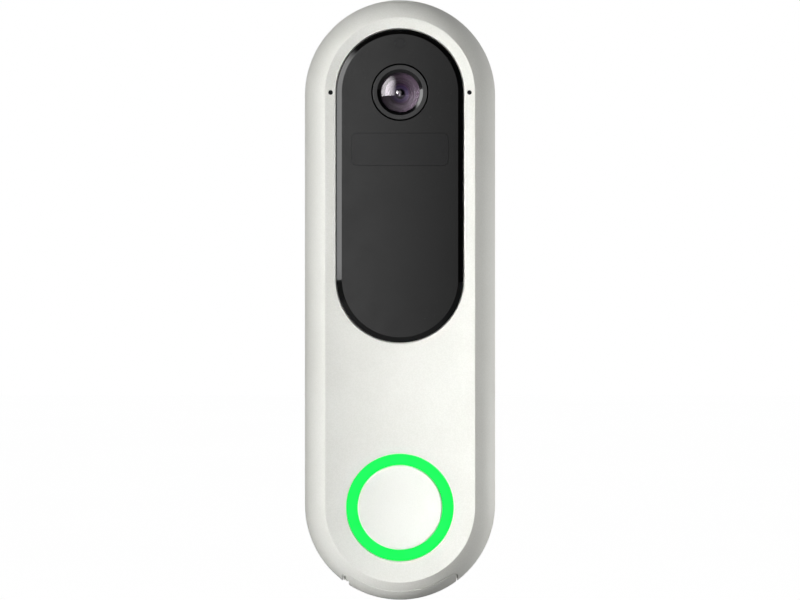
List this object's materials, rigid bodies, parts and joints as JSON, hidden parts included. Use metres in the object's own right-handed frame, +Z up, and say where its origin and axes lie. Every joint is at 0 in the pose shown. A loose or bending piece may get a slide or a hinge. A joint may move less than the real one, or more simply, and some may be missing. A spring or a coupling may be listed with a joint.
{
  "type": "video doorbell",
  "caption": "Pill-shaped battery video doorbell on a wall bracket, with a black camera window, a push button in a lit ring and a pull-out battery tray.",
  "frame": {"origin": "centre of the wall bracket's back face, level with the middle of the doorbell", "axes": "+Z up the wall, +Y into the wall, the front faces -Y, +X to the right of a person facing it"},
  "size_m": [0.0484, 0.028, 0.1524],
  "materials": {
    "white_shell": "fine satin moulded plastic, warm white",
    "button_white": "satin, a little whiter than the shell",
    "grey_plastic": "fine textured moulding",
    "black_glass": "polished black window with a chamfered edge",
    "window_black": "polished, infrared-clear black",
    "black_plastic": "satin black moulding",
    "lens_glass": "coated optical glass, violet reflection",
    "green_light": "lit translucent light guide",
    "circuit_board": "green solder mask",
    "chip_black": "moulded chip and speaker frame black",
    "steel": "plated steel",
    "gold": "gold plated contact",
    "rubber": "matt silicone and foam",
    "cell_wrap": "heat-shrink wrap",
    "speaker_cone": "paper cone, matt"
  },
  "bodies": {
    "bracket": {"wall_bracket": "grey_plastic"},
    "housing": {"front_cover": "white_shell", "rear_housing": "white_shell", "housing_seal": "rubber", "housing_screw_upper_left": "steel", "housing_screw_upper_right": "steel", "housing_screw_lower_left": "steel", "housing_screw_lower_right": "steel", "window_glass": "black_glass", "window_tape": "rubber", "motion_window": "window_black", "light_sensor_window": "window_black", "camera_trim": "black_plastic", "front_lens": "lens_glass", "lens_barrel": "black_plastic", "inner_lens": "lens_glass", "lens_holder": "black_plastic", "camera_board": "circuit_board", "image_sensor": "chip_black", "main_board": "circuit_board", "board_screw_upper_left": "steel", "board_screw_upper_right": "steel", "board_screw_lower_left": "steel", "board_screw_lower_right": "steel", "processor_shield": "steel", "wifi_antenna": "gold", "motion_sensor": "steel", "light_sensor": "chip_black", "button_flex": "gold", "infrared_led_left": "lens_glass", "microphone_left": "steel", "microphone_seal_left": "rubber", "infrared_led_right": "lens_glass", "microphone_right": "steel", "microphone_seal_right": "rubber", "speaker_frame": "chip_black", "speaker_cone": "speaker_cone", "terminal_block": "black_plastic", "battery_sleeve": "black_plastic", "spring_contact_left": "gold", "spring_contact_right": "gold", "light_ring": "green_light", "button_board": "circuit_board", "button_switch": "chip_black", "button_seal": "rubber"},
    "button": {"button_cap": "button_white", "button_carrier": "white_shell", "switch_stem": "black_plastic"},
    "battery_tray": {"tray_cap": "white_shell", "cap_seal": "rubber", "battery_case": "black_plastic", "battery_cell": "cell_wrap", "protection_board": "circuit_board", "pack_contact_left": "gold", "pack_contact_right": "gold"},
    "security_screw": {"security_screw": "steel"},
    "terminal_screw_left": {"terminal_screw_left": "steel"},
    "terminal_screw_right": {"terminal_screw_right": "steel"}
  },
  "joints": [
    {"name": "unit_lift", "type": "slide", "parent": "bracket", "child": "housing", "axis": [0, 0, 1], "range_m": [0, 0.007]},
    {"name": "button_press", "type": "slide", "parent": "housing", "child": "button", "axis": [0, 1, 0], "range_m": [0, 0.0008], "stiffness_N_per_m": 1200, "springref_m": -0.0004},
    {"name": "battery_slide", "type": "slide", "parent": "housing", "child": "battery_tray", "axis": [0, 0, -1], "range_m": [0, 0.084]},
    {"name": "security_screw_turn", "type": "hinge", "parent": "housing", "child": "security_screw", "pos_m": [0, -0.0059, -0.073], "axis": [0, 0, 1], "continuous": true},
    {"name": "terminal_screw_left_turn", "type": "hinge", "parent": "housing", "child": "terminal_screw_left", "pos_m": [-0.005, -0.0043, 0.03], "axis": [0, 1, 0], "continuous": true},
    {"name": "terminal_screw_right_turn", "type": "hinge", "parent": "housing", "child": "terminal_screw_right", "pos_m": [0.005, -0.0043, 0.03], "axis": [0, 1, 0], "continuous": true}
  ]
}
